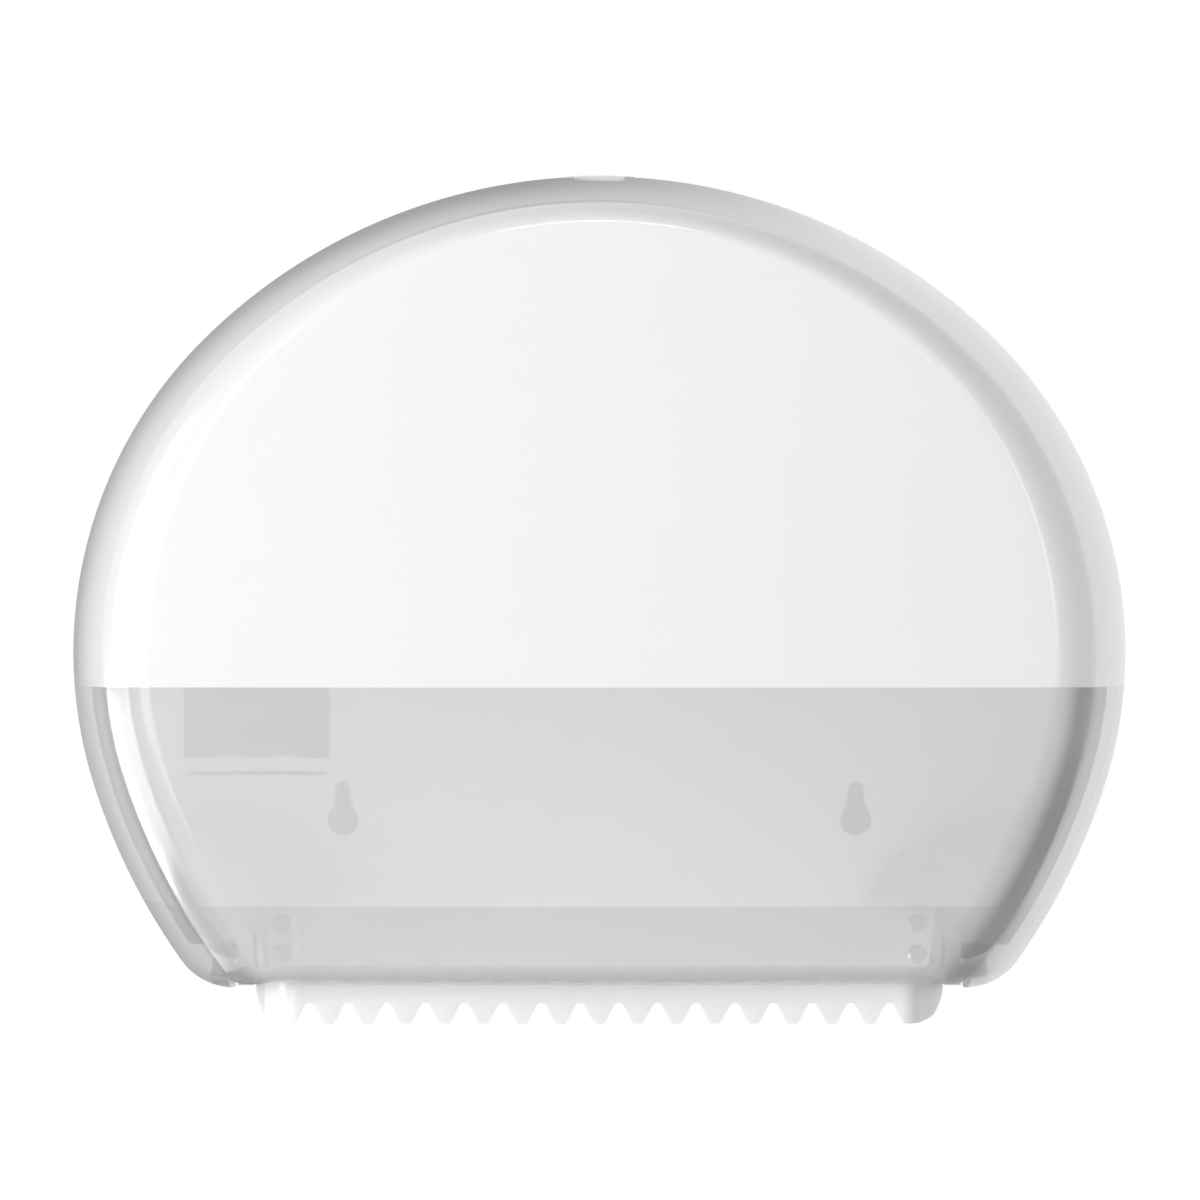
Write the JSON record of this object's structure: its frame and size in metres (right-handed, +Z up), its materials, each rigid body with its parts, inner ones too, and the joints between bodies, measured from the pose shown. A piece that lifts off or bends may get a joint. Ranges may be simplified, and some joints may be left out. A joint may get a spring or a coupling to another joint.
{
  "type": "jumbo toilet roll dispenser",
  "caption": "Wall-hung jumbo toilet roll dispenser: domed hinged cover with a clear lower window, push latch, turning roll spindle and a serrated paper chute.",
  "frame": {"origin": "on the wall plane, on the axis of the roll spindle", "axes": "+X to the right seen from the front, +Y into the wall, +Z up"},
  "size_m": [0.345, 0.132, 0.2747],
  "materials": {
    "white_gloss": "glossy",
    "white_plastic": "satin",
    "window": "glossy, translucent",
    "nylon": "satin",
    "felt": "pressed felt",
    "steel": "zinc plated"
  },
  "bodies": {
    "back": {"back_plate": "white_plastic", "tear_bar": "white_plastic", "guide_left": "white_plastic", "guide_right": "white_plastic", "guide_screws": "steel", "tear_bar_screws": "steel", "hinge_pins": "steel", "lock_housing": "white_plastic", "lock_screws": "steel", "spindle_post": "nylon", "post_screws": "steel", "brake_spring": "steel", "brake_pad": "felt", "retaining_washer": "steel", "end_screw": "steel"},
    "cover": {"cover_shell": "white_gloss", "cover_window": "window", "hinge_lug_left": "window", "hinge_lug_right": "window"},
    "latch": {"latch_button": "white_gloss", "latch_spring": "steel"},
    "spindle": {"spindle_hub": "white_plastic", "hub_bushes": "nylon", "hub_cap": "white_plastic"}
  },
  "joints": [
    {"name": "cover_hinge", "type": "hinge", "parent": "back", "child": "cover", "pos_m": [0, -0.008, -0.1515], "axis": [1, 0, 0], "range_deg": [0, 95]},
    {"name": "latch_press", "type": "slide", "parent": "back", "child": "latch", "axis": [0, 0, -1], "range_m": [0, 0.0032], "stiffness_N_per_m": 500, "springref_m": -0.004, "deforming": ["latch_spring"]},
    {"name": "spindle_spin", "type": "hinge", "parent": "back", "child": "spindle", "pos_m": [0, -0.05, 0], "axis": [0, -1, 0], "continuous": true}
  ]
}
